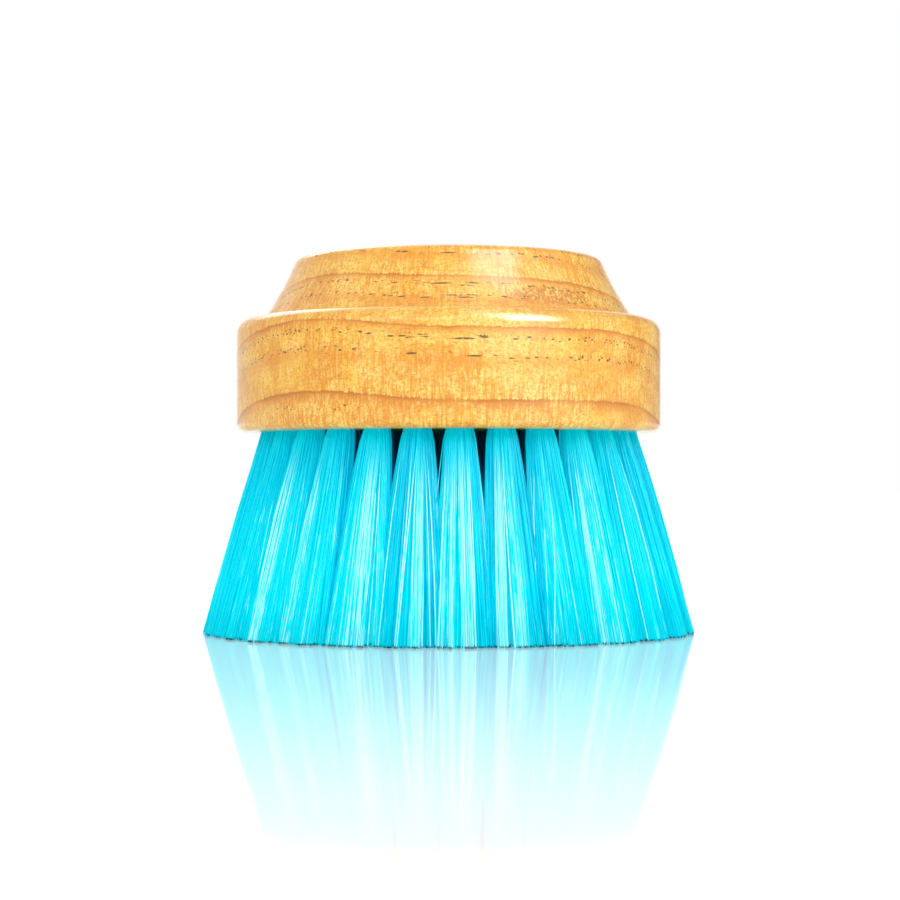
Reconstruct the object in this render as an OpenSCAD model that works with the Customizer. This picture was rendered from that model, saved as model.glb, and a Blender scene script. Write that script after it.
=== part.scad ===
/* [Block] */
// Diameter of the lower disc that holds the tufts
disc_d = 90; // [86:1:110]
// Height of the lower disc
disc_h = 23.9; // [20:0.1:30]
// Radius of the disc's rounded upper edge
shoulder_r = 3.2; // [1:0.1:4]
// Radius of the disc's rounded lower edge
rim_r = 1.8; // [0.5:0.1:3]

/* [Grip] */
// Diameter of the palm grip where it stands on the disc
grip_base_d = 78.6; // [72:0.2:79]
// Diameter of the grip's top face, before its edge is rounded
grip_top_d = 64.4; // [56:0.2:70]
// Height of the grip above the disc
grip_h = 13; // [10:0.5:20]
// Depth of the shallow hollow turned along the grip's side
grip_hollow = 0.4; // [0.1:0.1:1]
// Radius of the grip's rounded top edge
grip_edge_r = 2; // [0.5:0.5:3]

/* [Rows of tufts] */
// Rings of tufts, counted from the outside in
rows = 5; // [3:1:5]
// Radius of the outer ring of holes, at the underside
outer_row_r = 37.1; // [34:0.1:38.5]
// Radius of the innermost ring of holes, at the underside
inner_row_r = 5.3; // [5:0.1:6]
// Tufts in the outer ring; the other rings have as many as keep them equally far apart
outer_tufts = 28; // [20:1:28]
// Turn of the outer ring from the front, in degrees
outer_turn = 3.4; // [0:0.2:12]
// Turn that each further ring adds, in degrees
turn_per_row = 1; // [0:0.5:10]

/* [Tuft holes] */
// Diameter of the drilled holes
hole_d = 5.2; // [4.4:0.1:5.6]
// Depth of the holes along their axis
hole_depth = 12; // [9:0.5:13]
// Gap between a tuft's folded root and its hole
root_gap = 0.05; // [0.02:0.01:0.1]

/* [Bristles] */
// Length of the bristles below the block
trim_h = 42.3; // [30:0.1:55]
// Radius that the bristles spread to at their tips
tip_r = 52.8; // [48:0.1:58]
// Radius left bare at the very middle of the tips
core_r = 1.2; // [0.8:0.1:2]
// Strands across a tuft of the outer ring
outer_strands = 5; // [2:1:6]
// Strands across a tuft of the other rings
inner_strands = 2; // [2:1:3]
// Strands from a tuft's outer face to its inner face
strand_layers = 2; // [1:1:3]
// Share of a strand's cell left open where it leaves the block
root_opening = 0.06; // [0.04:0.01:0.15]
// Share of a strand's cell left open at its tip
tip_opening = 0.2; // [0.1:0.01:0.4]

/* [Anchors] */
// Thickness of the flat wire that the anchors are cut from
anchor_t = 0.5; // [0.3:0.05:0.8]
// Height of an anchor along its hole
anchor_h = 2.2; // [1.5:0.1:3]
// Depth that each end of an anchor is driven into the hole's wall
anchor_bite = 0.7; // [0.4:0.1:1]
// Room for the fold of the tuft between its anchor and the hole's end
fold_h = 2.2; // [1.8:0.1:3]

/* [Hidden] */
// Rings, from the outside in, whose tufts are nodes of their own
single_rows = 2;
// The strands start this far inside the root, so that the two are one solid
root_overlap = 1;
// Wall that the root keeps round its strands
root_wall = 0.12;
// Sides of a packed root
root_sides = 12;
// Roundness of the curves as drawn
$fn = 48;

disc_r = disc_d / 2;
hole_r = hole_d / 2;
root_r = hole_r - root_gap;
strand_reach = root_r * cos(180 / root_sides) - root_wall;
disc_top = trim_h + disc_h;
grip_top = disc_top + grip_h;

// Colours as the photograph shows them
wood_colour = [0.86, 0.63, 0.34];
bristle_colour = [0.02, 0.74, 0.86];
steel_colour = [0.7, 0.7, 0.72];

row_names = ["outer", "second", "third", "fourth", "fifth"];

// Radius of a ring of holes at the underside
function row_radius(row) = outer_row_r - row * (outer_row_r - inner_row_r) / (rows - 1);
// Tufts in a ring
function row_count(row) = round(outer_tufts * row_radius(row) / outer_row_r);
// Outer and inner limits of a ring's tufts at the tips, and the middle between them
function tip_outer(row) = tip_r * (rows - row) / rows;
function tip_inner(row) = max(core_r, tip_r * (rows - row - 1) / rows);
function tip_middle(row) = (tip_outer(row) + tip_inner(row)) / 2;
// Outward lean of a ring's tufts, and so of their holes
function lean(row) = atan((tip_middle(row) - row_radius(row)) / trim_h);
// Direction of a tuft, where -90 is the front
function heading(row, number) =
    -90 + outer_turn + row * turn_per_row + 360 * number / row_count(row);
// Strands across a tuft
function strands_across(row) = row == 0 ? outer_strands : inner_strands;

function two_digits(n) = str(n < 10 ? "0" : "", n);
function tuft_name(row, number) = str(row_names[row], "_tuft_", two_digits(number + 1));
function row_tufts_name(row) = str(row_names[row], "_row_tufts");
function anchors_name(row) = str(row_names[row], "_row_anchors");

// Moves its children to a tuft's place on the underside, with +Z along the hole into the wood
module at_tuft(row, number) {
    rotate([0, 0, heading(row, number)])
        translate([row_radius(row), 0, trim_h])
            rotate([0, -lean(row), 0])
                children();
}

// Half of the disc's outline, with both edges rounded
module disc_outline() {
    translate([0, trim_h + rim_r]) square([disc_r, disc_h - rim_r - shoulder_r]);
    translate([0, trim_h]) square([disc_r - rim_r, disc_h]);
    translate([0, disc_top - shoulder_r]) square([disc_r - shoulder_r, shoulder_r]);
    translate([disc_r - rim_r, trim_h + rim_r]) circle(rim_r);
    translate([disc_r - shoulder_r, disc_top - shoulder_r]) circle(shoulder_r);
}

// Half of the grip's outline: a slope hollowed by a large circle, with a rounded top edge
module grip_outline() {
    base = [grip_base_d / 2, disc_top];
    top = [grip_top_d / 2, grip_top];
    chord = norm(top - base);
    hollow_r = (chord * chord / 4 + grip_hollow * grip_hollow) / (2 * grip_hollow);
    outward = [grip_h, base.x - top.x] / chord;
    hollow_centre = (base + top) / 2 + outward * (hollow_r - grip_hollow);
    edge_y = grip_top - grip_edge_r;
    edge_reach = hollow_r + grip_edge_r;
    edge_x = hollow_centre.x
        - sqrt(edge_reach * edge_reach - (edge_y - hollow_centre.y) * (edge_y - hollow_centre.y));
    edge_centre = [edge_x, edge_y];
    touch = hollow_centre + (edge_centre - hollow_centre) * hollow_r / edge_reach;
    difference() {
        polygon([
            [0, disc_top], base, touch, edge_centre, [edge_x, grip_top], [0, grip_top]
        ]);
        translate(hollow_centre) circle(hollow_r, $fn = 720);
    }
    translate(edge_centre) circle(grip_edge_r);
}

// One anchor: a strip of flat wire that the tuft is folded over, driven into the hole's wall
module anchor() {
    anchor_w = hole_d + 2 * anchor_bite;
    translate([-anchor_t / 2, -anchor_w / 2, hole_depth - fold_h - anchor_h])
        cube([anchor_t, anchor_w, anchor_h]);
}

// One flat-bottomed hole, open at the underside
module hole() {
    mouth = hole_r;
    translate([0, 0, -mouth]) cylinder(r = hole_r, h = hole_depth + mouth);
}

// The turned wooden block: disc and grip in one piece, drilled for the tufts and cut by their anchors
module block() {
    color(wood_colour)
        difference() {
            rotate_extrude() {
                disc_outline();
                grip_outline();
            }
            for (row = [0:rows - 1])
                for (n = [0:row_count(row) - 1])
                    at_tuft(row, n) {
                        hole();
                        anchor();
                    }
        }
}

// A tuft's folded root, packed into its hole and cut flush with the underside
module root(row, number) {
    below = hole_r;
    difference() {
        at_tuft(row, number)
            translate([0, 0, -below])
                cylinder(r = root_r, h = hole_depth + below, $fn = root_sides);
        translate([-disc_r, -disc_r, trim_h - hole_d])
            cube([disc_d, disc_d, hole_d]);
        at_tuft(row, number) anchor();
    }
}

// A point of a tuft where it leaves the block: across and through run from -1 to 1
function root_point(row, number, across, through) =
    let (
        height = trim_h + root_overlap,
        middle = row_radius(row) - root_overlap * tan(lean(row)),
        outward = middle + strand_reach * through * sqrt(1 - across * across / 2),
        sideways = strand_reach * across * sqrt(1 - through * through / 2),
        turn = heading(row, number)
    )
    [outward * cos(turn) - sideways * sin(turn), outward * sin(turn) + sideways * cos(turn), height];

// The same point of the tuft at the tips
function tip_point(row, number, across, through) =
    let (
        outward = tip_middle(row) + through * (tip_outer(row) - tip_inner(row)) / 2,
        turn = heading(row, number) + across * 180 / row_count(row)
    )
    [outward * cos(turn), outward * sin(turn), 0];

// Corners of cell number c of n cells from -1 to 1, with a share of the cell left open
function cell(c, n, open) = [-1 + (2 * c + open) / n, -1 + (2 * c + 2 - open) / n];

// One strand: four-sided, from its cell in the root to its cell at the tips.
// Facing sides of neighbouring strands are split along the same diagonal, so they never cross.
module strand(row, number, column, layer) {
    columns = strands_across(row);
    root_x = cell(column, columns, root_opening);
    root_y = cell(layer, strand_layers, root_opening);
    tip_x = cell(column, columns, tip_opening);
    tip_y = cell(layer, strand_layers, tip_opening);
    corners = [[0, 0], [1, 0], [1, 1], [0, 1]];
    polyhedron(
        points = concat(
            [for (c = corners) tip_point(row, number, tip_x[c.x], tip_y[c.y])],
            [for (c = corners) root_point(row, number, root_x[c.x], root_y[c.y])]
        ),
        faces = concat(
            [[2, 1, 0], [3, 2, 0], [4, 5, 6], [4, 6, 7]],
            [for (s = [0, 1]) let (t = s + 1) each [[t + 4, s + 4, s], [t, t + 4, s]]],
            [for (s = [2, 3]) let (t = (s + 1) % 4) each [[t + 4, s + 4, t], [s + 4, s, t]]]
        )
    );
}

// One tuft: strands that fan out from the packed root
module tuft(row, number) {
    color(bristle_colour) {
        root(row, number);
        for (column = [0:strands_across(row) - 1])
            for (layer = [0:strand_layers - 1])
                strand(row, number, column, layer);
    }
}

// All the tufts of one ring
module row_tufts(row) {
    for (n = [0:row_count(row) - 1]) tuft(row, n);
}

// The anchors of one ring
module row_anchors(row) {
    color(steel_colour)
        for (n = [0:row_count(row) - 1]) at_tuft(row, n) anchor();
}

block();
for (row = [0:single_rows - 1])
    for (n = [0:row_count(row) - 1])
        tuft(row, n);
for (row = [single_rows:1:rows - 1])
    row_tufts(row);
for (row = [0:rows - 1])
    row_anchors(row);
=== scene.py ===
import math
import random

import bmesh
import bpy
from mathutils import Matrix, Vector


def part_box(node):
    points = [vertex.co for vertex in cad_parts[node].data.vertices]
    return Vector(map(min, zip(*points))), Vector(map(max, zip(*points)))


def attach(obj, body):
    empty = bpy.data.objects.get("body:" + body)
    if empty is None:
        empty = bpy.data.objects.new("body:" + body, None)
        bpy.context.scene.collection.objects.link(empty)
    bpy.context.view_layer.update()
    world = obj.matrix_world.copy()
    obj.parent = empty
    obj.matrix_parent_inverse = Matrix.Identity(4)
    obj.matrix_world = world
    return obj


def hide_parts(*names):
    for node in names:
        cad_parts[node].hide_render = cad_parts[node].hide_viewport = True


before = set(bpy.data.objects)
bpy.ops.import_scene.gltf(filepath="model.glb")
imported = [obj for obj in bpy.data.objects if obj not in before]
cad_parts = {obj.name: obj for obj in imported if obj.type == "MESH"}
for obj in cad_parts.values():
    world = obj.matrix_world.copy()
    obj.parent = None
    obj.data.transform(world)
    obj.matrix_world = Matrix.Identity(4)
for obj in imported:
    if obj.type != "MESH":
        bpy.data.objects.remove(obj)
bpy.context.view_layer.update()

# Block: measured from the frame, then the lengths of its outline that the frame doesn't name
BLOCK_LOW, BLOCK_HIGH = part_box("block")
UNDERSIDE_Z = BLOCK_LOW[2]
GRIP_TOP_Z = BLOCK_HIGH[2]
DISC_R = (BLOCK_HIGH[0] - BLOCK_LOW[0]) / 2
DISC_H = 0.0239
DISC_TOP_Z = UNDERSIDE_Z + DISC_H
SHOULDER_R = 0.0032
RIM_R = 0.0018
GRIP_BASE_R = 0.0393
GRIP_TOP_R = 0.0322
GRIP_HOLLOW = 0.0004
GRIP_EDGE_R = 0.0020

# Rings of tufts, as in the part's source; the tufts of the first two are nodes of their own
ROW_NAMES = ("outer", "second", "third", "fourth", "fifth")
ROWS = len(ROW_NAMES)
SINGLE_ROWS = 2
OUTER_ROW_R = 0.0371
INNER_ROW_R = 0.0053
OUTER_TUFTS = 28
OUTER_TURN = math.radians(3.4)
TURN_PER_ROW = math.radians(1.0)
HOLE_R = 0.0026
HOLE_DEPTH = 0.012
TIP_R = 0.0528
CORE_R = 0.0012


def row_radius(row):
    """Radius of a ring of holes at the underside."""
    return OUTER_ROW_R - row * (OUTER_ROW_R - INNER_ROW_R) / (ROWS - 1)


def row_count(row):
    """Tufts in a ring."""
    return round(OUTER_TUFTS * row_radius(row) / OUTER_ROW_R)


def tip_reach(row):
    """Inner and outer radius that a ring's tufts spread to at the tips."""
    return max(CORE_R, TIP_R * (ROWS - row - 1) / ROWS), TIP_R * (ROWS - row) / ROWS


def lean(row):
    """Outward lean of a ring's tufts and holes."""
    inner, outer = tip_reach(row)
    return math.atan(((inner + outer) / 2 - row_radius(row)) / UNDERSIDE_Z)


def heading(row, number):
    """Direction of a tuft round the axis, where -90 degrees is the front."""
    return -math.pi / 2 + OUTER_TURN + row * TURN_PER_ROW + 2 * math.pi * number / row_count(row)


# Shader arithmetic

class Shade:
    """One shader socket, with the arithmetic operators of a number."""

    def __init__(self, maker, socket):
        self.maker = maker
        self.socket = socket

    def math(self, operation, *others):
        """Applies one of the number operations."""
        return self.maker.node("ShaderNodeMath", {"operation": operation}, [self, *others])

    def __add__(self, other):
        return self.math("ADD", other)

    __radd__ = __add__

    def __mul__(self, other):
        return self.math("MULTIPLY", other)

    def __sub__(self, other):
        return self.math("SUBTRACT", other)

    def __rsub__(self, other):
        return self.maker.node("ShaderNodeMath", {"operation": "SUBTRACT"}, [other, self])

    def __truediv__(self, other):
        return self.math("DIVIDE", other)

    def __pow__(self, other):
        return self.math("POWER", other)

    def part(self):
        """What is left of a number above the whole one."""
        return self.math("FRACT")

    def clamp(self):
        return self.maker.node("ShaderNodeClamp", {}, [self, 0.0, 1.0])

    def ease(self, low, high, low_value=0.0, high_value=1.0):
        """Eases from low_value to high_value between low and high."""
        return self.maker.node(
            "ShaderNodeMapRange",
            {"interpolation_type": "SMOOTHSTEP", "clamp": True},
            [self, low, high, low_value, high_value],
        )


class Maker:
    """Builds one material's nodes."""

    def __init__(self, name):
        self.material = bpy.data.materials.new(name)
        self.material.use_nodes = True
        self.tree = self.material.node_tree
        self.surface = self.tree.nodes["Principled BSDF"]

    def node(self, kind, settings, values, output=0):
        """Adds a node: its settings, then values or links for its sockets, by place or by name."""
        made = self.tree.nodes.new(kind)
        for key, value in settings.items():
            setattr(made, key, value)
        pairs = values.items() if isinstance(values, dict) else enumerate(values)
        for key, value in pairs:
            self.feed(made.inputs[key], value)
        return Shade(self, made.outputs[output])

    def feed(self, socket, value):
        """Links a shade to a socket, or sets the socket's own value."""
        if isinstance(value, Shade):
            self.tree.links.new(value.socket, socket)
        elif isinstance(value, tuple) and len(value) == 3 and socket.type == "RGBA":
            socket.default_value = (*value, 1.0)
        else:
            socket.default_value = value

    def place(self):
        """Place on the object, in metres."""
        return self.node("ShaderNodeTexCoord", {}, [], "Object")

    def split(self, vector):
        made = self.tree.nodes.new("ShaderNodeSeparateXYZ")
        self.feed(made.inputs[0], vector)
        return [Shade(self, made.outputs[i]) for i in range(3)]

    def join(self, x, y, z):
        return self.node("ShaderNodeCombineXYZ", {}, [x, y, z])

    def cells(self, vector, scale, output):
        """Random cells: the distance to each cell's middle, or the cell's own colour."""
        return self.node(
            "ShaderNodeTexVoronoi",
            {"feature": "F1", "voronoi_dimensions": "3D"},
            {"Vector": vector, "Scale": scale},
            output,
        )

    def noise(self, vector, scale, detail=2.0, roughness=0.5):
        return self.node(
            "ShaderNodeTexNoise",
            {"noise_dimensions": "3D"},
            {"Vector": vector, "Scale": scale, "Detail": detail, "Roughness": roughness},
        )

    def mix(self, factor, first, second):
        """Mixes two colours, which are sockets 6 and 7 of the node, into its output 2."""
        return self.node(
            "ShaderNodeMix", {"data_type": "RGBA"}, {0: factor, 6: first, 7: second}, output=2
        )

    def tint(self, colour, tints):
        """Lays tints over a colour in turn, each as (amount, tint)."""
        for amount, tint in tints:
            colour = self.mix(amount, colour, tint)
        return colour

    def bump(self, height, distance, strength):
        return self.node(
            "ShaderNodeBump", {}, {"Strength": strength, "Distance": distance, "Height": height}
        )

    def finish(self, **sockets):
        """Sets the surface's sockets by name, with underscores for spaces."""
        for key, value in sockets.items():
            self.feed(self.surface.inputs[key.replace("_", " ")], value)
        return self.material


# Materials

# A noise or cell scale is in cells a metre, and the noise itself runs about a middle of 0.5.
# A factor below 1 on a coordinate draws the pattern out along it.
NOISE_MIDDLE = 0.5

# The first growth line crosses the block's front this high above the underside. It is the edge of
# a layer of this radius about the tree's pith, which runs along X below the front of the block.
FIRST_RING_RISE = 0.0059
FIRST_RING_R = 0.105
PITH_Y = -0.038
PITH_Z = UNDERSIDE_Z + FIRST_RING_RISE - FIRST_RING_R
# Growth layers a metre beyond the first line, and how fast they close up
RINGS_PER_METRE = 58.7
RINGS_CLOSING = 955.0
# How far a growth line wanders: over some millimetres, finely, and along the turning marks
RING_DRIFT = 0.0016
RING_FINE_DRIFT = 0.0006
RING_SMEAR = 0.0012
# Swell in the growth layers, left of the middle
SWELL_X = -0.029
SWELL_W = 0.017
SWELL_H = 0.0021
# Torn grain at the front of the grip; there is none behind this range of Y
TORN_X = 0.0200
TORN_Z = UNDERSIDE_Z + 0.0266
TORN_W = 0.0095
TORN_H = 0.0023
TORN_FADE_Y = (-0.010, 0.0)
# The turning marks fade in over this range of radius, so the grip's flat top has none
TURNED_SIDE_R = (0.0300, 0.0325)

# Places of the two bands of resin canals within a growth layer, and half their thickness
CANAL_BANDS = (0.54, 0.81)
CANAL_BAND_HALF = 0.042
CANALS_PER_METRE = 1750.0
# Share of the canals that lie outside the bands
STRAY_CANALS = 0.01
# Few canals open below this range of height
CANAL_LOW_Z = (UNDERSIDE_Z + 0.003, UNDERSIDE_Z + 0.007)
FEW_CANALS = 0.06

PINE_CREAM = (0.96, 0.69, 0.240)
PINE_PALE = (0.93, 0.61, 0.105)
PINE_WARM = (0.92, 0.55, 0.055)
PINE_HONEY = (0.74, 0.255, 0.008)
PINE_LATE = (0.50, 0.150, 0.006)
PINE_CANAL = (0.09, 0.024, 0.006)
PINE_BUMP = 0.00007


def lacquered_pine():
    """Clear-lacquered pine: growth layers about a pith along X, resin canals, and turning marks."""
    m = Maker("lacquered_pine")
    place = m.place()
    x, y, z = m.split(place)

    # Short upright marks that turning leaves on the sides
    radius = (x * x + y * y).math("SQRT")
    on_side = radius.ease(*TURNED_SIDE_R)
    side_x = x / radius * DISC_R
    side_y = y / radius * DISC_R
    chatter = m.noise(m.join(side_x, side_y, z * 0.20), 2300.0, 3.0, 0.6)
    marked = m.noise(m.join(x, y, z * 1.4), 60.0).ease(0.42, 0.56, 0.35, 1.0) * on_side
    pale_marks = chatter.ease(0.50, 0.59) * marked
    dark_marks = (1 - chatter.ease(0.40, 0.49)) * marked

    # Longer scratches from the same turning
    scratches = m.noise(m.join(side_x, side_y, z * 0.05), 1500.0, 1.0)
    scratches = scratches.ease(0.60, 0.68) * marked

    # Distance beyond the first growth line, which wanders
    drift = m.noise(m.join(x * 0.35, y, z), 38.0) - NOISE_MIDDLE
    fine_drift = m.noise(m.join(x * 0.5, y, z), 420.0) - NOISE_MIDDLE
    smear = (chatter - NOISE_MIDDLE) * on_side
    swell = (((x - SWELL_X) / SWELL_W) ** 2 * -1.0).math("EXPONENT")
    from_pith = ((y - PITH_Y) ** 2 + (z - PITH_Z) ** 2).math("SQRT")
    drifted = from_pith - swell * SWELL_H + drift * RING_DRIFT + fine_drift * RING_FINE_DRIFT
    beyond = drifted + smear * RING_SMEAR - FIRST_RING_R

    # Growth layers, with the late wood darkest just inside each layer's edge
    share = (beyond * RINGS_PER_METRE + beyond * beyond * RINGS_CLOSING).part()
    edge = 1 - share.ease(0.985, 1.0)
    patchy = m.noise(m.join(x * 0.8, y, z), 95.0).ease(0.40, 0.58, 0.60, 1.0)
    late = share.ease(0.72, 0.985) ** 2.0 * edge * patchy * (1 - pale_marks * 0.5)
    line = share.ease(0.950, 0.978) * edge * patchy
    faint = share.ease(0.30, 0.45) * (1 - share.ease(0.45, 0.62)) * patchy

    # Lines along the grain, and mottling that is long along X
    fibre = m.noise(m.join(x * 0.05, y, z), 2600.0, 3.0, 0.6)
    broad = m.noise(m.join(x * 0.5, y, z), 150.0, 3.0, 0.6)
    cloud = m.noise(place, 45.0)
    grain = m.noise(place, 1500.0, 2.0, 0.6)
    flecks = m.noise(m.join(x * 0.6, y, z), 2900.0, 1.0).ease(0.54, 0.63)

    # Grain torn by the turning tool, in one spot low on the grip
    from_torn = ((x - TORN_X) / TORN_W) ** 2 + ((z - TORN_Z) / TORN_H) ** 2
    from_torn = from_torn + y.ease(*TORN_FADE_Y)
    torn_spots = m.noise(m.join(x, y, z * 0.5), 2100.0).ease(0.42, 0.52)
    torn = (1 - from_torn.ease(0.3, 1.2)) * torn_spots

    # Resin canals: thin dark tubes along X, thickest in two bands of each layer
    crowded = m.noise(place, 40.0, 1.0).ease(0.40, 0.58, 0.80, 1.0)
    crowded = crowded * z.ease(*CANAL_LOW_Z, FEW_CANALS, 1.0)
    stretched = m.join(x * 0.05, y, z)
    near_canal = m.cells(stretched, CANALS_PER_METRE, "Distance")
    chance = m.split(m.cells(stretched, CANALS_PER_METRE, "Color"))[0]
    wanted = STRAY_CANALS - chance
    for middle in CANAL_BANDS:
        off = (share - middle).math("ABSOLUTE")
        wanted = wanted + (1 - off.ease(CANAL_BAND_HALF * 0.7, CANAL_BAND_HALF)) * crowded
    canals = (1 - near_canal.ease(0.25, 0.40)) * wanted.ease(0.0, 0.02)

    colour = m.tint(
        PINE_PALE,
        (
            (cloud.ease(0.42, 0.58), PINE_WARM),
            (broad.ease(0.47, 0.60) * 0.50, PINE_HONEY),
            ((1 - broad.ease(0.38, 0.48)) * 0.35, PINE_CREAM),
            (pale_marks * 0.50, PINE_CREAM),
            (dark_marks * 0.70, PINE_HONEY),
            (grain.ease(0.50, 0.60) * 0.50, PINE_HONEY),
            (flecks * 0.45, PINE_LATE),
            (scratches * 0.70, PINE_HONEY),
            (torn * 0.75, PINE_LATE),
            (faint * 0.50, PINE_HONEY),
            (late * 0.80, PINE_HONEY),
            (late ** 2.0 * 0.65, PINE_LATE),
            (line * 0.85, PINE_LATE),
            (fibre.ease(0.50, 0.64) * 0.25, PINE_LATE),
            (canals.clamp() * 0.92, PINE_CANAL),
        ),
    )
    height = fibre * 0.3 + chatter * on_side * 0.6 + grain * 0.3 + canals * -0.8
    return m.finish(
        Base_Color=colour,
        Roughness=0.42 + dark_marks * 0.12,
        Normal=m.bump(height, PINE_BUMP, 0.6),
        Coat_Weight=0.80,
        Coat_Roughness=0.19,
        Specular_IOR_Level=0.15,
    )


RAW_PINE_PALE = (0.95, 0.83, 0.52)
RAW_PINE_DARK = (0.86, 0.58, 0.22)


def raw_pine():
    """Pale torn wood fibre, without lacquer."""
    m = Maker("raw_pine")
    x, y, z = m.split(m.place())
    lines = m.noise(m.join(x, y, z * 0.2), 3000.0)
    return m.finish(
        Base_Color=m.mix(lines.ease(0.40, 0.60), RAW_PINE_PALE, RAW_PINE_DARK),
        Roughness=0.75,
    )


# Cyan tones of the filament, with the painted highlight, painted root shade, painted shade at the
# inner roots and painted tip shadow that are laid over them
BRISTLE_BRIGHT = (0.0, 0.77, 0.86)
BRISTLE_DEEP = (0.0, 0.65, 0.81)
BRISTLE_ROOT_SHADE = (0.0, 0.58, 0.80)
BRISTLE_DARK = (0.0, 0.42, 0.64)
BRISTLE_SHADED = (0.0, 0.36, 0.62)
BRISTLE_PAINTED_HIGHLIGHT = (0.60, 0.96, 0.99)
BRISTLE_TIP_SHADOW = (0.0, 0.10, 0.16)
NO_GLOW = (0.0, 0.0, 0.0)
# The outer ring's roots are lit, from this range of radius outwards
LIT_ROOT_R = (0.0315, 0.0350)
# A painted contact shadow darkens the tips below this range of height
TIP_SHADOW_Z = (0.00025, 0.00060)


def filament():
    """Translucent cyan filament in its own tone, with painted highlight streaks away from its root,
    painted shade towards its root, a painted contact shadow at its tips, and a painted glow.
    """
    m = Maker("cyan_filament")
    x, y, z = m.split(m.place())
    # The filament's tone, which also carries the painted highlight streaks and painted shade of its
    # tuft
    own = m.node("ShaderNodeAttribute", {"attribute_name": "tone_and_painted_light"}, [], "Fac")
    own = own + (m.noise(m.join(x, y, z * 0.10), 900.0) - NOISE_MIDDLE) * 0.5
    depth = (z / UNDERSIDE_Z).clamp()
    lit_root = (x * x + y * y).math("SQRT").ease(*LIT_ROOT_R)
    tip_shadow = (1 - z.ease(*TIP_SHADOW_Z)) * m.noise(m.join(x, y, 0.0), 900.0).ease(0.38, 0.56)
    # The body runs from dark to bright with that value: dark where it holds painted shade at tufts'
    # edges and sides, bright where it holds painted sheen
    body = m.tint(
        BRISTLE_DARK,
        (
            (own.ease(-0.10, 0.25), BRISTLE_DEEP),
            (own.ease(0.15, 0.60), BRISTLE_BRIGHT),
        ),
    )
    # Over the body: painted highlight streaks on the palest filaments away from the roots, painted
    # shade towards the roots, deeper painted shade at the inner rings' roots, and a painted contact
    # shadow at the tips
    colour = m.tint(
        body,
        (
            (own.ease(0.62, 0.80) * (1 - depth.ease(0.68, 0.95)), BRISTLE_PAINTED_HIGHLIGHT),
            # Painted shade towards the roots
            (depth.ease(0.50, 1.0) * 0.6, BRISTLE_ROOT_SHADE),
            (depth.ease(0.50, 0.90) * (1 - lit_root), BRISTLE_SHADED),
            (tip_shadow * 0.92, BRISTLE_TIP_SHADOW),
        ),
    )
    # A painted glow, standing in for light carried along the translucent filaments: it reaches up
    # to the roots in the outer ring, and not in the rings behind it, and dims towards the roots
    painted_glow = (1 - depth.ease(0.30, 0.88) * (1 - lit_root)) * (1 - depth * 0.4) * (1 - tip_shadow)
    return m.finish(
        Base_Color=colour,
        Roughness=0.28,
        Specular_IOR_Level=0.10,
        Emission_Color=m.mix(painted_glow, NO_GLOW, body),
        Emission_Strength=0.36,
    )


STEEL_DULL = (0.56, 0.56, 0.58)
STEEL_BRIGHT = (0.68, 0.68, 0.70)


def drawn_wire():
    """Flat wire with fine lines along its length."""
    m = Maker("drawn_wire")
    x, y, z = m.split(m.place())
    lines = m.noise(m.join(x, y, z * 12.0), 900.0)
    return m.finish(
        Base_Color=m.mix(lines, STEEL_DULL, STEEL_BRIGHT),
        Metallic=1.0,
        Roughness=0.28 + lines * 0.15,
    )


# Pieces

def add_piece(name, bm, material, replaced=()):
    """Makes a mesh piece that rides on the root body."""
    mesh = bpy.data.meshes.new(name)
    bm.to_mesh(mesh)
    bm.free()
    piece = bpy.data.objects.new(name, mesh)
    bpy.context.scene.collection.objects.link(piece)
    piece.data.materials.append(material)
    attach(piece, "root")
    if replaced:
        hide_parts(*replaced)
    return piece


def hole_matrix(row, number):
    """Takes +Z along a hole into the wood, from the middle of its mouth."""
    return (
        Matrix.Rotation(heading(row, number), 4, "Z")
        @ Matrix.Translation((row_radius(row), 0, UNDERSIDE_Z))
        @ Matrix.Rotation(-lean(row), 4, "Y")
    )


# Steps round the block, along its hollow side, its shoulder and its smaller edges, and round a hole
TURNED_STEPS = 192
HOLLOW_STEPS = 12
SHOULDER_STEPS = 12
EDGE_STEPS = 8
HOLE_SIDES = 28
# Corners closer than this are one
MERGE_DISTANCE = 1e-7
# Faces that meet at more than this stay sharp
SHARP_ANGLE = math.radians(32)


def arc(centre, radius, start, end, steps):
    """Points of an arc in the outline's plane, from start to end in degrees."""
    turns = [math.radians(start + (end - start) * i / steps) for i in range(steps + 1)]
    return [(centre[0] + radius * math.cos(t), centre[1] + radius * math.sin(t)) for t in turns]


def grip_side():
    """The grip's hollowed side and rounded top edge, as (radius, height) from the disc up."""
    base = Vector((GRIP_BASE_R, DISC_TOP_Z))
    top = Vector((GRIP_TOP_R, GRIP_TOP_Z))
    chord = (top - base).length
    hollow_r = (chord**2 / 4 + GRIP_HOLLOW**2) / (2 * GRIP_HOLLOW)
    outward = Vector((top.y - base.y, base.x - top.x)) / chord
    hollow = (base + top) / 2 + outward * (hollow_r - GRIP_HOLLOW)
    reach = hollow_r + GRIP_EDGE_R
    edge_z = GRIP_TOP_Z - GRIP_EDGE_R
    edge = Vector((hollow.x - math.sqrt(reach**2 - (edge_z - hollow.y) ** 2), edge_z))
    touch = hollow + (edge - hollow) * hollow_r / reach

    def angle(centre, point):
        return math.degrees(math.atan2(point.y - centre.y, point.x - centre.x)) % 360

    side = arc(hollow, hollow_r, angle(hollow, base), angle(hollow, touch), HOLLOW_STEPS)
    return side + arc(edge, GRIP_EDGE_R, angle(edge, touch), 90, EDGE_STEPS)[1:]


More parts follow.
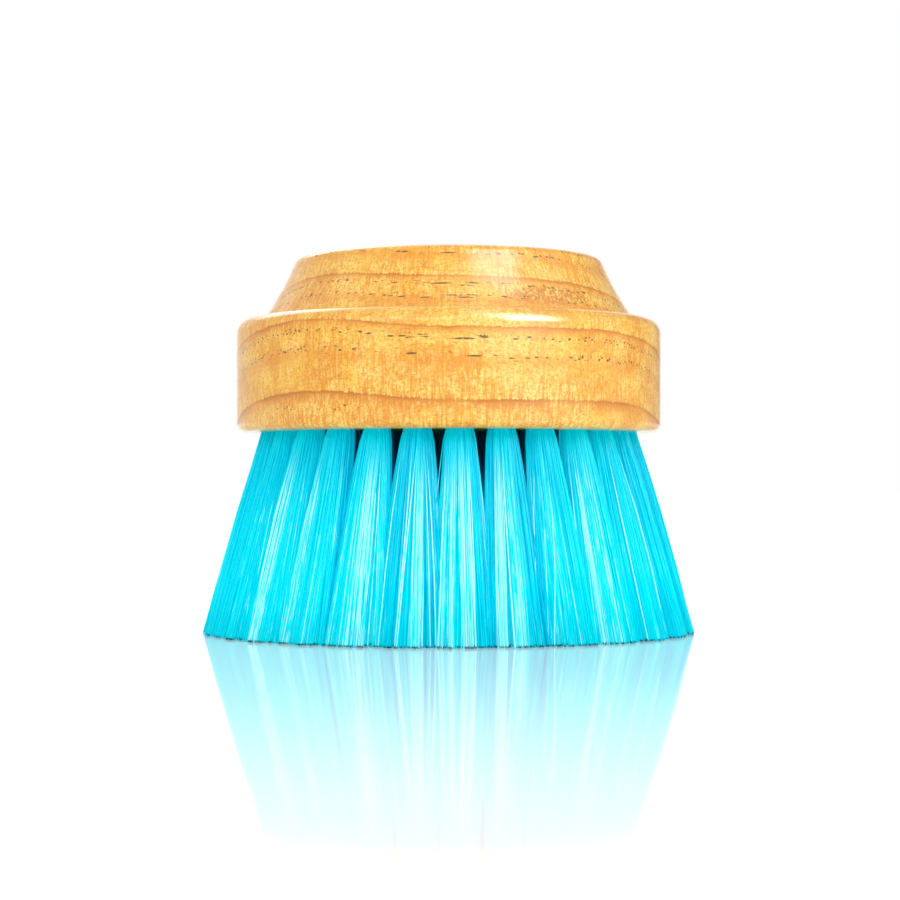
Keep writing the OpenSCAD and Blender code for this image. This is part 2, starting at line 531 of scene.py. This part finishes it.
def block_outline():
    """The turned block's outline as (radius, height), from the underside's middle to the top's."""
    rim = arc((DISC_R - RIM_R, UNDERSIDE_Z + RIM_R), RIM_R, -90, 0, EDGE_STEPS)
    shoulder_centre = (DISC_R - SHOULDER_R, DISC_TOP_Z - SHOULDER_R)
    shoulder = arc(shoulder_centre, SHOULDER_R, 0, 90, SHOULDER_STEPS)
    return [(0.0, UNDERSIDE_Z), *rim, *shoulder, *grip_side(), (0.0, GRIP_TOP_Z)]


def drill_object():
    """Cylinders for all the holes, each from a little below the underside to its hole's end."""
    bm = bmesh.new()
    below = HOLE_R
    along = Matrix.Translation((0, 0, (HOLE_DEPTH - below) / 2))
    for row in range(ROWS):
        for number in range(row_count(row)):
            bmesh.ops.create_cone(
                bm,
                cap_ends=True,
                segments=HOLE_SIDES,
                radius1=HOLE_R,
                radius2=HOLE_R,
                depth=HOLE_DEPTH + below,
                matrix=hole_matrix(row, number) @ along,
            )
    mesh = bpy.data.meshes.new("drill")
    bm.to_mesh(mesh)
    bm.free()
    drill = bpy.data.objects.new("drill", mesh)
    bpy.context.scene.collection.objects.link(drill)
    return drill


def turned_block(material):
    """The wooden block, turned in one piece and drilled for the tufts."""
    bm = bmesh.new()
    verts = [bm.verts.new((r, 0.0, z)) for r, z in block_outline()]
    edges = [bm.edges.new(pair) for pair in zip(verts, verts[1:])]
    bmesh.ops.spin(
        bm,
        geom=verts + edges,
        cent=(0, 0, 0),
        axis=(0, 0, 1),
        angle=2 * math.pi,
        steps=TURNED_STEPS,
        use_merge=True,
    )
    bmesh.ops.remove_doubles(bm, verts=bm.verts, dist=MERGE_DISTANCE)
    bmesh.ops.recalc_face_normals(bm, faces=bm.faces)
    piece = add_piece("turned_block", bm, material, ["block"])

    drill = drill_object()
    drilled = piece.modifiers.new("drilled", "BOOLEAN")
    drilled.operation = "DIFFERENCE"
    drilled.solver = "EXACT"
    drilled.object = drill
    bpy.context.view_layer.update()
    graph = bpy.context.evaluated_depsgraph_get()
    result = bpy.data.meshes.new_from_object(piece.evaluated_get(graph))
    piece.modifiers.clear()
    piece.data = result
    bpy.data.objects.remove(drill)
    result.shade_smooth()
    result.set_sharp_from_angle(angle=SHARP_ANGLE)


# Rings whose holes show splinters, how many a hole has, and their size
BURR_SEED = 7
BURR_ROWS = 2
BURRS_AT_A_HOLE = (1, 4)
BURR_LENGTH = (0.0004, 0.0012)
BURR_R = 0.00013
BURR_SIDES = 5
# A splinter's tip as a share of its foot, its thickness, and its breadth
BURR_TIP = 0.2
BURR_THIN = 0.5
BURR_BROAD = (0.8, 2.0)
# Turn of a splinter into or away from the hole, and along the hole's edge, in radians
BURR_FLARE = (-0.5, 0.9)
BURR_LIE = (-0.8, 0.8)


def hole_burrs(material):
    """Splinters that the drill raised round the mouths of the outer rings' holes."""
    rng = random.Random(BURR_SEED)
    bm = bmesh.new()
    foot = Matrix.Translation((HOLE_R, 0, 0))
    for row in range(BURR_ROWS):
        for number in range(row_count(row)):
            for _ in range(rng.randint(*BURRS_AT_A_HOLE)):
                length = rng.uniform(*BURR_LENGTH)
                flare = Matrix.Rotation(rng.uniform(*BURR_FLARE), 4, "Y")
                lie = Matrix.Rotation(rng.uniform(*BURR_LIE), 4, "X")
                hang = Matrix.Translation((0, 0, -length / 2 + BURR_R))
                flat = Matrix.Diagonal((BURR_THIN, rng.uniform(*BURR_BROAD), 1.0, 1.0))
                round_hole = Matrix.Rotation(rng.uniform(0, 2 * math.pi), 4, "Z")
                bmesh.ops.create_cone(
                    bm,
                    cap_ends=True,
                    segments=BURR_SIDES,
                    radius1=BURR_R * BURR_TIP,
                    radius2=BURR_R,
                    depth=length,
                    matrix=hole_matrix(row, number) @ round_hole @ foot @ flare @ lie @ hang @ flat,
                )
    add_piece("hole_burrs", bm, material)


# Filaments in a tuft of each ring, and stretches in a filament of each ring
ROW_FILAMENTS = (430, 320, 280, 260, 260)
ROW_LENGTHS = (6, 4, 3, 3, 3)
# Each ring has its own run of random draws
SEEDS_PER_ROW = 1000
FILAMENT_SIDES = 3
FILAMENT_R = 0.000125
# A filament's cut end, as a share of its own radius
FILAMENT_END = 0.85
# The filaments start this far inside their hole
ROOT_DEPTH = 0.0030
# Height of the lowest tips, and the spread that the trimming leaves above it
TRIM_Z = FILAMENT_R * 0.2
TRIM_SPREAD = 0.0004
# The trimmed tips stay this far inside the part's own reach
TIP_LIMIT_R = 0.0520
# How far a tuft's tips reach over its neighbours', as a share of its own width
OVERLAP = 1.20
# How much faster the filaments part near the block than near the floor
SPLAY = 0.22
# How much wider than its packed root a tuft is at the mouth of its hole
MOUTH_FLARE = 1.14
# How much it swells just below the mouth, and over which share of its length
MOUTH_SWELL = 0.13
SWELL_SHARE = 0.02
# The points of a filament gather towards the block by this power
GATHERING = 1.8

# Clumps in a tuft, how strongly they draw their filaments in, and how far their tips wander
CLUMPS = 24
CLUMP_PULL = 0.50
CLUMP_PULL_RANGE = (0.3, 1.0)
CLUMP_WANDER = 0.12
# How far a single filament's tip lies from its place
TIP_SCATTER = 0.06
# Outward bow of a filament, and how much the bows differ
BOW = 0.0001
BOW_SPREAD = 0.00025
# Chance of a stray filament, how far its tip strays, and its bow across and out of the tuft
STRAY_CHANCE = 0.018
STRAY_REACH = 0.7
STRAY_BOW_ACROSS = 0.0012
STRAY_BOW_OUT = 0.0008

# Shades run from 0, dark, to 1, pale: their middle, and how much filaments, clumps and tufts differ
SHADE_MIDDLE = 0.52
SHADE_SPREAD = 0.30
# Clumps differ in shade, which makes painted highlight streaks
CLUMP_CONTRAST = 0.42
TUFT_CONTRAST = 0.04
# Stray filaments take the palest shade, and with it the painted highlight
STRAY_SHADE = 1.0
# Painted highlight down the middle of a tuft and painted shade at its sides: how much paler the
# middle is than the sides, and where the two balance
MIDDLE_SHEEN_EDGE_SHADE = 0.32
MIDDLE_BALANCE = 0.4
# Painted shade and weaker painted highlight streaks on the tufts at the brush's two sides: how much
# deeper, and how much more even, they are
SIDE_PAINTED_SHADE = 0.15
SIDE_EVENNESS = 0.85


def one_filament(lengths):
    """A tube with a closed tip, and a ring of corners at the end of each of its lengths."""
    bm = bmesh.new()
    ring = bmesh.ops.create_circle(bm, segments=FILAMENT_SIDES, radius=1.0)["verts"]
    edges = list({e for v in ring for e in v.link_edges})
    for _ in range(lengths):
        made = bmesh.ops.extrude_edge_only(bm, edges=edges)["geom"]
        edges = [g for g in made if isinstance(g, bmesh.types.BMEdge)]
        edges = [e for e in edges if all(v not in ring for v in e.verts)]
        ring = list({v for e in edges for v in e.verts})
        bmesh.ops.translate(bm, verts=ring, vec=(0, 0, 1))
    bmesh.ops.contextual_create(bm, geom=edges)
    bmesh.ops.recalc_face_normals(bm, faces=bm.faces)
    mesh = bpy.data.meshes.new("one_filament")
    bm.to_mesh(mesh)
    bm.free()
    return mesh


def in_disc(rng):
    """A random point in a disc of radius 1."""
    radius, turn = math.sqrt(rng.random()), rng.uniform(0, 2 * math.pi)
    return radius * math.cos(turn), radius * math.sin(turn)


def filament_path(row, number, root, tip, bow, lengths, rng):
    """Middle points of one filament, from inside its hole to its trimmed tip."""
    packed_r = HOLE_R - 2 * FILAMENT_R
    flared_r = packed_r * MOUTH_FLARE
    into = hole_matrix(row, number)
    start = into @ Vector((root[1] * packed_r, root[0] * packed_r, ROOT_DEPTH))
    mouth = into @ Vector((root[1] * flared_r, root[0] * flared_r, 0.0))

    turn = heading(row, number)
    inner, outer = tip_reach(row)
    half_turn = math.pi / row_count(row)
    tip_radius = min((inner + outer) / 2 + tip[1] * (outer - inner) / 2, TIP_LIMIT_R)
    tip_turn = turn + tip[0] * half_turn
    tip_z = TRIM_Z + TRIM_SPREAD * rng.random() ** 2
    end = Vector((tip_radius * math.cos(tip_turn), tip_radius * math.sin(tip_turn), tip_z))

    sideways = Vector((-math.sin(turn), math.cos(turn), 0))
    across = (end - mouth).dot(sideways)
    points = [start]
    free = lengths - 1
    for i in range(free + 1):
        t = (i / free) ** GATHERING
        swell = MOUTH_SWELL * (1 - math.exp(-t / SWELL_SHARE)) * mouth.dot(sideways)
        point = mouth.lerp(end, t) + sideways * ((SPLAY * t * across + swell) * (1 - t))
        points.append(point + bow * math.sin(math.pi * t))
    return points


def add_tuft(bm, row, number, master, paths, shades, rng):
    """Adds a tuft's filaments to bm, and notes each one's path and shade."""
    turn = heading(row, number)
    outward = Vector((math.cos(turn), math.sin(turn), 0))
    sideways = Vector((-math.sin(turn), math.cos(turn), 0))
    clump_roots = [in_disc(rng) for _ in range(CLUMPS)]
    clump_tips = []
    for across, through in clump_roots:
        tip_across = across * OVERLAP + rng.uniform(-CLUMP_WANDER, CLUMP_WANDER)
        clump_tips.append((tip_across, through + rng.uniform(-CLUMP_WANDER, CLUMP_WANDER)))
    # Clumps get evenly spread shades that make painted highlight streaks; tufts at the brush's two
    # sides get painted shade and weaker streaks
    at_side = math.cos(turn) ** 2
    contrast = 1 - SIDE_EVENNESS * at_side
    tuft_shade = rng.uniform(-TUFT_CONTRAST, TUFT_CONTRAST) - SIDE_PAINTED_SHADE * at_side
    levels = [2 * c / (CLUMPS - 1) - 1 for c in range(CLUMPS)]
    clump_shades = [tuft_shade + CLUMP_CONTRAST * contrast * level for level in levels]
    rng.shuffle(clump_shades)
    for _ in range(ROW_FILAMENTS[row]):
        root = in_disc(rng)
        near = min(
            range(CLUMPS),
            key=lambda c: (clump_roots[c][0] - root[0]) ** 2 + (clump_roots[c][1] - root[1]) ** 2,
        )
        own = (root[0] * OVERLAP, root[1])
        pull = CLUMP_PULL * rng.uniform(*CLUMP_PULL_RANGE)
        tip = [
            own[k] + (clump_tips[near][k] - own[k]) * pull + rng.gauss(0, TIP_SCATTER)
            for k in range(2)
        ]
        stray = rng.random() < STRAY_CHANCE
        if stray:
            tip[0] += rng.uniform(-STRAY_REACH, STRAY_REACH)
        bow = outward * rng.gauss(BOW, BOW_SPREAD) + sideways * rng.gauss(0, BOW_SPREAD)
        if stray:
            bow_across = rng.uniform(-STRAY_BOW_ACROSS, STRAY_BOW_ACROSS)
            bow += sideways * bow_across + outward * rng.uniform(0, STRAY_BOW_OUT)
        bm.from_mesh(master)
        paths.append(filament_path(row, number, root, tip, bow, ROW_LENGTHS[row], rng))
        # Painted highlight down the tuft's middle, painted shade at its edges
        middle = MIDDLE_SHEEN_EDGE_SHADE * contrast * (MIDDLE_BALANCE - root[0] ** 2)
        spread = rng.uniform(-SHADE_SPREAD, SHADE_SPREAD) * contrast
        shade = SHADE_MIDDLE + spread + clump_shades[near] + middle
        shades.append(STRAY_SHADE if stray else min(1.0, max(0.0, shade)))


def fill_tufts(node, row, numbers, material, master):
    """One piece of filaments for the tufts of a node."""
    rng = random.Random(SEEDS_PER_ROW * row + numbers[0])
    bm = bmesh.new()
    paths, shades = [], []
    for number in numbers:
        add_tuft(bm, row, number, master, paths, shades, rng)
    tone_and_painted_light = bm.verts.layers.float.new("tone_and_painted_light")
    corners = [v.co.copy() for v in master.vertices]
    spins = [rng.uniform(0, 2 * math.pi) for _ in paths]
    bm.verts.ensure_lookup_table()
    for i, vert in enumerate(bm.verts):
        strand, corner = divmod(i, len(corners))
        local = corners[corner]
        level = round(local.z)
        path = paths[strand]
        radius = FILAMENT_R * (FILAMENT_END if level == len(path) - 1 else 1.0)
        spin = spins[strand]
        dx = local.x * math.cos(spin) - local.y * math.sin(spin)
        dy = local.x * math.sin(spin) + local.y * math.cos(spin)
        vert.co = path[level] + Vector((dx * radius, dy * radius, 0))
        vert[tone_and_painted_light] = shades[strand]
    piece = add_piece(f"{node}_filaments", bm, material, [node])
    piece.data.shade_smooth()


def all_tufts(material):
    """The outer two rings as a piece for each tuft, and the inner rings as a piece each."""
    masters = {n: one_filament(n) for n in set(ROW_LENGTHS)}
    for row in range(ROWS):
        master = masters[ROW_LENGTHS[row]]
        count = row_count(row)
        if row < SINGLE_ROWS:
            for number in range(count):
                node = f"{ROW_NAMES[row]}_tuft_{number + 1:02d}"
                fill_tufts(node, row, [number], material, master)
        else:
            node = f"{ROW_NAMES[row]}_row_tufts"
            fill_tufts(node, row, range(count), material, master)
    for master in masters.values():
        bpy.data.meshes.remove(master)


# Studio

# Camera, as fitted to the photograph: the pixels are the brush's axis and the camera's own height
CAMERA_DISTANCE = 0.480
CAMERA_Z = 0.0314
LENS = 90.0
SENSOR = 36.0
CLIP_START = 0.01
AXIS_PIXEL = 448.7
HORIZON_PIXEL = 484.0
PHOTO_PIXELS = 900

BRUSH_MIDDLE = (0.0, 0.0, 0.045)
# The white room's level as light, and as it and the two cards behind the brush show in gloss
ROOM_LIGHT = 0.60
BACKDROP = 1.20
LEFT_CARD = 0.80
RIGHT_CARD = 0.35
# Directions between which the room gives way to the cards: back along Y, and to each side along X
BEHIND = (0.22, 0.36)
RIGHT_SIDE = (0.22, 0.34)
LEFT_SIDE = (-0.34, -0.22)

# The lamps of a softbox stand one in front of the other, because lamps in one place hide each other
SHED_DISTANCE = 1.03
GLOSS_DISTANCE = 1.0
LOW_GLOSS_DISTANCE = 0.97
# The softbox's brighter lower half: its turn and drop in degrees, and its share of height and power
LOW_GLOSS_TURN = 4
LOW_GLOSS_DROP = 11
LOW_GLOSS_HEIGHT = 0.6
LOW_GLOSS_POWER = 1.3

TABLE_HALF = 6.0
TABLE_WHITE = (0.92, 0.92, 0.92)
# The table glows less round the brush than away from it, over this range of radius: a painted
# shadow round the brush
TABLE_NEAR_GLOW = (0.10, 0.10, 0.10)
TABLE_FAR_GLOW = (1.0, 1.0, 1.0)
TABLE_GLOW_R = (0.10, 0.40)


def add_camera():
    """The photograph's camera: level, in front of the brush, with its picture shifted."""
    camera = bpy.data.objects.new("camera", bpy.data.cameras.new("camera"))
    bpy.context.scene.collection.objects.link(camera)
    camera.data.lens = LENS
    camera.data.sensor_width = SENSOR
    camera.data.shift_x = (PHOTO_PIXELS / 2 - AXIS_PIXEL) / PHOTO_PIXELS
    camera.data.shift_y = (HORIZON_PIXEL - PHOTO_PIXELS / 2) / PHOTO_PIXELS
    camera.data.clip_start = CLIP_START
    camera.location = (0, -CAMERA_DISTANCE, CAMERA_Z)
    camera.rotation_euler = (math.pi / 2, 0, 0)
    bpy.context.scene.camera = camera


def add_light(name, azimuth, elevation, distance, size, power):
    """A lamp at an azimuth right of the camera and an elevation, in degrees, facing the brush."""
    data = bpy.data.lights.new(name, "AREA")
    data.shape = "RECTANGLE"
    data.size, data.size_y = size
    data.energy = power
    light = bpy.data.objects.new(name, data)
    bpy.context.scene.collection.objects.link(light)
    turn, rise = math.radians(azimuth), math.radians(elevation)
    level = distance * math.cos(rise)
    height = BRUSH_MIDDLE[2] + distance * math.sin(rise)
    light.location = (level * math.sin(turn), -level * math.cos(turn), height)
    direction = Vector(BRUSH_MIDDLE) - light.location
    light.rotation_euler = direction.to_track_quat("-Z", "Y").to_euler()
    return light


def add_softbox(name, azimuth, elevation, size, power, gloss_power):
    """A softbox: one lamp for the light that it sheds, and two that only show in gloss."""
    shed = add_light(name, azimuth, elevation, SHED_DISTANCE, size, power)
    shed.visible_glossy = False
    shown = add_light(f"{name}_gloss", azimuth, elevation, GLOSS_DISTANCE, size, gloss_power)
    shown.visible_diffuse = False
    lower = add_light(
        f"{name}_low_gloss",
        azimuth + LOW_GLOSS_TURN,
        elevation - LOW_GLOSS_DROP,
        LOW_GLOSS_DISTANCE,
        (size[0], size[1] * LOW_GLOSS_HEIGHT),
        gloss_power * LOW_GLOSS_POWER,
    )
    lower.visible_diffuse = False


def add_lights():
    """The key softbox at the right, a wide one in front on the left, and one behind."""
    add_softbox(
        "right_softbox", azimuth=42, elevation=38, size=(0.46, 0.85), power=4.0, gloss_power=9.5
    )
    add_light(
        "front_softbox", azimuth=-28, elevation=24, distance=1.2, size=(1.2, 0.42), power=3.5
    )
    add_light(
        "back_softbox", azimuth=-158, elevation=38, distance=1.1, size=(0.5, 0.5), power=2.2
    )


def add_table():
    """A glossy white table that reaches past the view on all sides."""
    bm = bmesh.new()
    bmesh.ops.create_grid(bm, x_segments=1, y_segments=1, size=TABLE_HALF)
    mesh = bpy.data.meshes.new("table")
    bm.to_mesh(mesh)
    bm.free()
    table = bpy.data.objects.new("table", mesh)
    bpy.context.scene.collection.objects.link(table)
    m = Maker("white_table")
    x, y = m.split(m.place())[:2]
    away = (x * x + y * y).math("SQRT").ease(*TABLE_GLOW_R)
    table.data.materials.append(
        m.finish(
            Base_Color=TABLE_WHITE,
            Roughness=0.06,
            Specular_IOR_Level=1.0,
            Emission_Color=m.mix(away, TABLE_NEAR_GLOW, TABLE_FAR_GLOW),
            Emission_Strength=0.5,
        )
    )


def add_room():
    """A white room: pure white to the camera, less as light, and with two grey cards in gloss."""
    world = bpy.data.worlds.new("studio")
    world.use_nodes = True
    tree = world.node_tree
    background = tree.nodes["Background"]
    background.inputs["Color"].default_value = (1, 1, 1, 1)
    ray = tree.nodes.new("ShaderNodeLightPath")
    facing = tree.nodes.new("ShaderNodeSeparateXYZ")
    direction = tree.nodes.new("ShaderNodeTexCoord")
    tree.links.new(direction.outputs["Generated"], facing.inputs[0])

    def room_level(factor, low_level, high_level, low=0.0, high=1.0):
        """Runs from one level to another while the factor runs from low to high."""
        level = tree.nodes.new("ShaderNodeMapRange")
        level.inputs["From Min"].default_value = low
        level.inputs["From Max"].default_value = high
        tree.links.new(factor, level.inputs["Value"])
        for name, value in (("To Min", low_level), ("To Max", high_level)):
            if isinstance(value, float):
                level.inputs[name].default_value = value
            else:
                tree.links.new(value, level.inputs[name])
        return level.outputs[0]

    behind = room_level(facing.outputs["Y"], 0.0, 1.0, *BEHIND)
    right = room_level(facing.outputs["X"], BACKDROP, RIGHT_CARD, *RIGHT_SIDE)
    cards = room_level(facing.outputs["X"], LEFT_CARD, right, *LEFT_SIDE)
    mirrored = room_level(behind, BACKDROP, cards)
    bounced = room_level(ray.outputs["Is Diffuse Ray"], mirrored, ROOM_LIGHT)
    seen = room_level(ray.outputs["Is Camera Ray"], bounced, 1.0)
    tree.links.new(seen, background.inputs["Strength"])
    bpy.context.scene.world = world
    bpy.context.scene.view_settings.view_transform = "Standard"


pine = lacquered_pine()
cyan = filament()
wire = drawn_wire()
turned_block(pine)
hole_burrs(raw_pine())
all_tufts(cyan)
for row_name in ROW_NAMES:
    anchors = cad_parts[f"{row_name}_row_anchors"]
    anchors.data.materials.clear()
    anchors.data.materials.append(wire)

add_table()
add_room()
add_lights()
add_camera()
